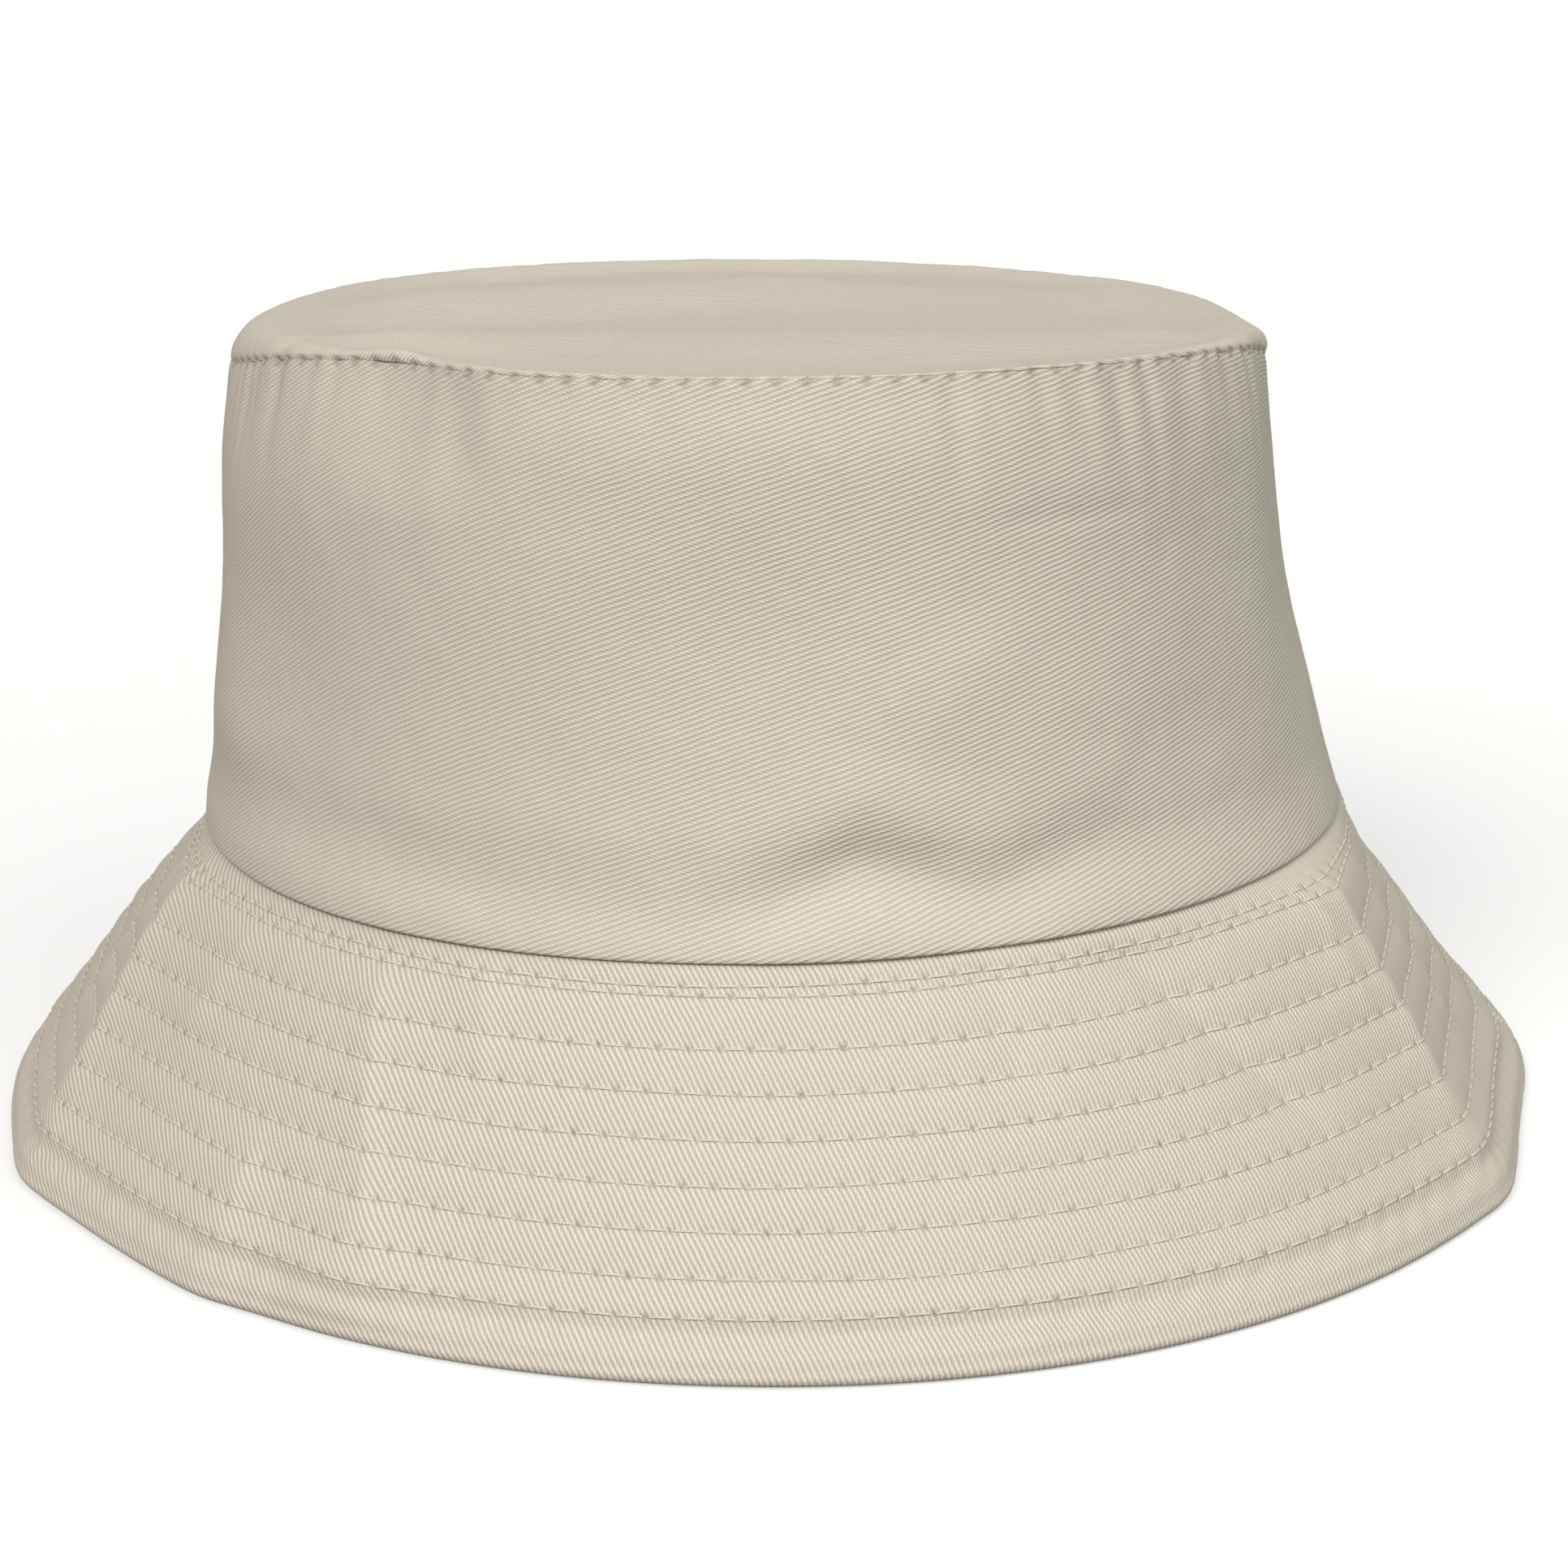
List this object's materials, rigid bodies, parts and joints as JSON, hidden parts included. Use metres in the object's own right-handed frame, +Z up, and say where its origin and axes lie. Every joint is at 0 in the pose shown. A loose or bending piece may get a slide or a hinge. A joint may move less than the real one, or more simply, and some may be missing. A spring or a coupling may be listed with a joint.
{
  "type": "bucket hat",
  "caption": "Soft cotton bucket hat: an oval crown with a flat top, a sloping quilted brim, a lining, a sweatband and a blank care label that swings.",
  "frame": {"origin": "middle of the plane that the brim edge rests on", "axes": "+Z up through the crown, -Y towards the front of the hat, +X towards the wearer's left"},
  "size_m": [0.2374, 0.2548, 0.118],
  "materials": {
    "outer_twill": "matt beige cotton twill",
    "lining_cotton": "matt beige plain-weave cotton",
    "interlining": "matt off-white felted interlining",
    "sweatband_twill": "matt beige cotton twill tape",
    "sewing_thread": "matt spun polyester thread",
    "label_satin": "soft white satin ribbon"
  },
  "bodies": {
    "hat": {"crown_tip": "outer_twill", "crown_side_front": "outer_twill", "crown_side_back": "outer_twill", "brim_top_front": "outer_twill", "brim_top_back": "outer_twill", "brim_stiffener": "interlining", "brim_under_front": "outer_twill", "brim_under_back": "outer_twill", "lining_tip": "lining_cotton", "lining_side_front": "lining_cotton", "lining_side_back": "lining_cotton", "sweatband": "sweatband_twill", "label_tab": "label_satin", "crown_top_seam_thread": "sewing_thread", "brim_seam_thread": "sewing_thread", "side_seam_threads": "sewing_thread", "brim_topstitch_inner": "sewing_thread", "brim_topstitch_outer": "sewing_thread", "quilting_row_1": "sewing_thread", "quilting_row_2": "sewing_thread", "quilting_row_3": "sewing_thread", "quilting_row_4": "sewing_thread", "quilting_row_5": "sewing_thread", "quilting_row_6": "sewing_thread", "hem_stitching": "sewing_thread", "sweatband_thread": "sewing_thread", "lining_seam_thread": "sewing_thread", "label_thread": "sewing_thread"},
    "label": {"care_label": "label_satin"}
  },
  "joints": [
    {"name": "label_swing", "type": "hinge", "parent": "hat", "child": "label", "pos_m": [0, 0.08709, 0.07576], "axis": [-1, 0, 0], "range_deg": [-6, 165]}
  ]
}
